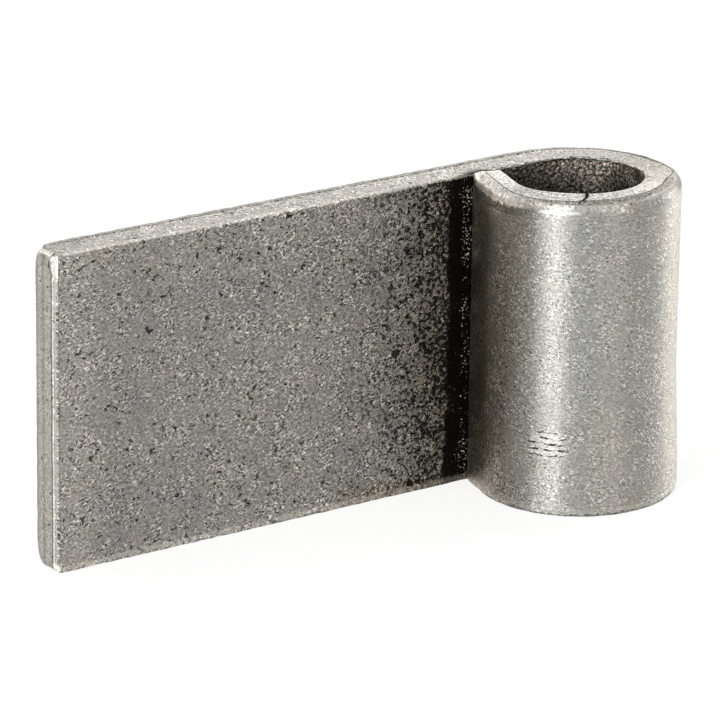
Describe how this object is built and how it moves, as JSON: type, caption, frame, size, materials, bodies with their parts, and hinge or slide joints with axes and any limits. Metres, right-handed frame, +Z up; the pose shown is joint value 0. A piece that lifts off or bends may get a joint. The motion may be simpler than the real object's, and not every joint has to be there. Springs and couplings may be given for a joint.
{
  "type": "weld-on hinge leaf",
  "caption": "Flat steel strip with one end rolled into an open-seamed eye for a hinge pin; the flat leaf is welded to a gate or frame and the eye turns on the pin.",
  "frame": {"origin": "on the pin's axis, level with the lower end face of the eye", "axes": "+Z up along the pin's axis, the leaf points along -X, its front face looks along -Y and its back face along +Y"},
  "size_m": [0.1035, 0.0311, 0.05],
  "materials": {
    "raw_steel": "raw mill-finish steel, tumbled, with dark scale in the corner beside the eye"
  },
  "bodies": {
    "root": {"hinge_leaf": "raw_steel"}
  },
  "joints": []
}
